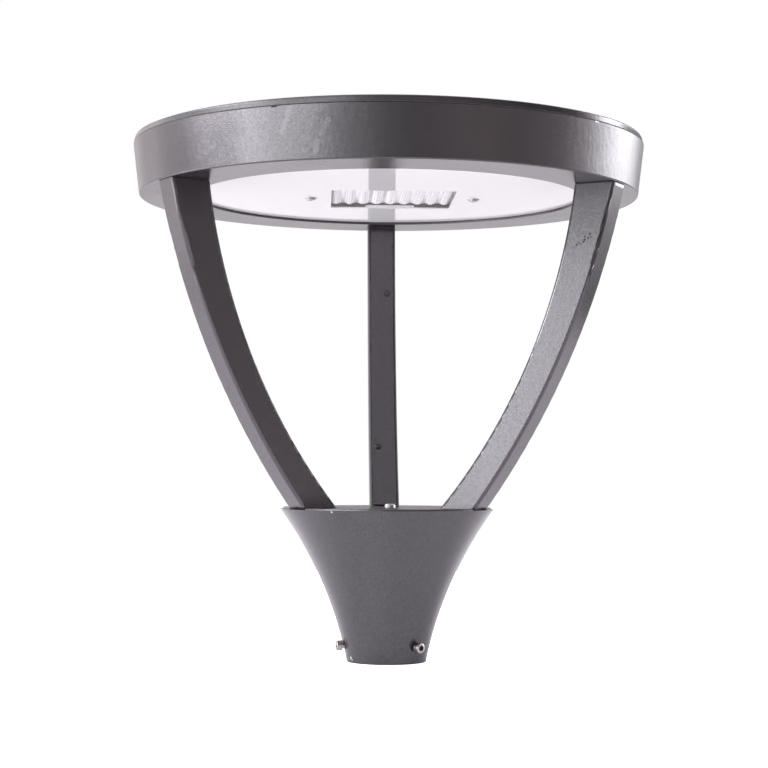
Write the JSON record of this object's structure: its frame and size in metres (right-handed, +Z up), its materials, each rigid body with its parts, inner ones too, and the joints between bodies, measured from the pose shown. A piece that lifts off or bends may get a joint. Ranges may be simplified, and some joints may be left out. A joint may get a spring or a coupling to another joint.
{
  "type": "led street light head",
  "caption": "Post-top street light head: a flared cup for the pole, curved arms and a round tapered housing with a white panel and a square LED module underneath.",
  "frame": {"origin": "middle of the cup's foot, on the lamp's axis", "axes": "+Z up along the axis to the crown of the cover, +Y towards the first arm"},
  "size_m": [0.4999, 0.5, 0.513],
  "materials": {
    "grey_paint": "dark grey powder coat with a fine metallic grain, satin, on cast aluminium",
    "stainless_steel": "bright turned stainless steel",
    "zinc_steel": "zinc-plated steel",
    "black_silicone": "matt black silicone",
    "white_sheet": "glossy white painted steel sheet",
    "clear_lens": "clear moulded lens plastic",
    "white_board": "white printed circuit board on an aluminium core",
    "yellow_chip": "yellow LED phosphor",
    "bare_aluminium": "mill-finish aluminium",
    "driver_case": "painted aluminium case, potted",
    "grey_plastic": "moulded grey plastic",
    "black_plastic": "moulded black plastic"
  },
  "bodies": {
    "root": {"spigot_cup": "grey_paint", "clamp_screws": "stainless_steel", "arm_carrier": "bare_aluminium", "carrier_screws": "zinc_steel", "arm_foot_screws": "zinc_steel", "cover_pillar": "zinc_steel", "cup_cover": "grey_paint", "cup_cover_screw": "stainless_steel", "arm_1": "grey_paint", "arm_2": "grey_paint", "arm_3": "grey_paint", "arm_strip_1": "grey_paint", "arm_strip_2": "grey_paint", "arm_strip_3": "grey_paint", "arm_strip_screws": "grey_paint", "arm_head_screws": "zinc_steel", "arm_head_pads": "black_silicone", "housing_ring": "grey_paint", "panel_gasket": "black_silicone", "panel_clips": "zinc_steel", "panel_clip_screws": "zinc_steel", "reflector_panel": "white_sheet", "panel_screws": "stainless_steel", "panel_standoffs": "zinc_steel", "standoff_screws": "zinc_steel", "lens_plate": "clear_lens", "lens_screws": "stainless_steel", "led_board": "white_board", "led_chips": "yellow_chip", "gear_plate": "bare_aluminium", "gear_plate_screws": "zinc_steel", "heat_sink": "bare_aluminium", "heat_sink_screws": "zinc_steel", "driver": "driver_case", "driver_screws": "zinc_steel", "surge_protector": "grey_plastic", "terminal_block": "grey_plastic", "cable_gland": "black_plastic", "top_cover": "grey_paint", "top_cover_gasket": "black_silicone", "top_cover_screws": "stainless_steel"}
  },
  "joints": []
}
